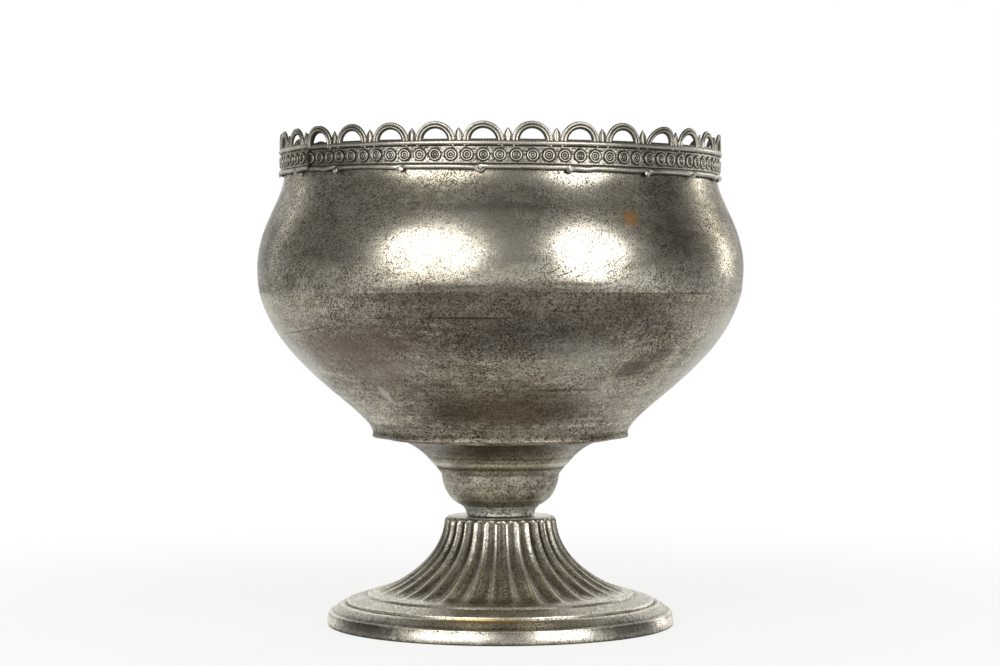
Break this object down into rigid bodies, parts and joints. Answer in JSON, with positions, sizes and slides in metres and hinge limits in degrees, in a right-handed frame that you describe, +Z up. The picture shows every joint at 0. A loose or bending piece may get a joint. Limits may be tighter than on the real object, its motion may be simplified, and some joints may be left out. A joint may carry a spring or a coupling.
{
  "type": "footed flower bowl",
  "caption": "Round footed bowl in antiqued metal, with a swelling two-part body, a pierced arcade gallery at the rim, a turned cup and collar, and a fluted flared foot.",
  "frame": {"origin": "on the table, under the middle of the foot", "axes": "+Z up along the axis that the bowl is turned about; -Y is the front, the side that the picture shows"},
  "size_m": [0.2516, 0.2514, 0.2532],
  "materials": {
    "bowl_metal": "antiqued, semi-gloss, mottled warm grey-brown with fine dark speckle",
    "cup_metal": "antiqued, satin, with turned rings",
    "collar_metal": "dull blue-grey, zinc-like, pitted",
    "foot_metal": "antiqued, bright warm silver on the ridges and dark in the flutes",
    "gallery_metal": "stamped, bright on the relief and dark in the ground",
    "solder": "dull grey-brown lumps",
    "fixing_steel": "plain zinc-plated steel"
  },
  "bodies": {
    "root": {"foot": "foot_metal", "collar": "collar_metal", "stem_cup": "cup_metal", "bowl_lower_shell": "bowl_metal", "bowl_upper_shell": "bowl_metal", "gallery_strip_front": "gallery_metal", "gallery_strip_right": "gallery_metal", "gallery_strip_left": "gallery_metal", "tie_rod": "fixing_steel", "bowl_washer": "fixing_steel", "bowl_nut": "fixing_steel", "foot_washer": "fixing_steel", "foot_nut": "fixing_steel", "solder_tack_01": "solder", "solder_tack_02": "solder", "solder_tack_03": "solder", "solder_tack_04": "solder", "solder_tack_05": "solder", "solder_tack_06": "solder", "solder_tack_07": "solder", "solder_tack_08": "solder", "solder_tack_09": "solder", "solder_tack_10": "solder", "solder_tack_11": "solder", "solder_tack_12": "solder", "solder_tack_13": "solder", "solder_tack_14": "solder", "solder_tack_15": "solder", "solder_tack_16": "solder", "solder_tack_17": "solder", "solder_tack_18": "solder"}
  },
  "joints": []
}
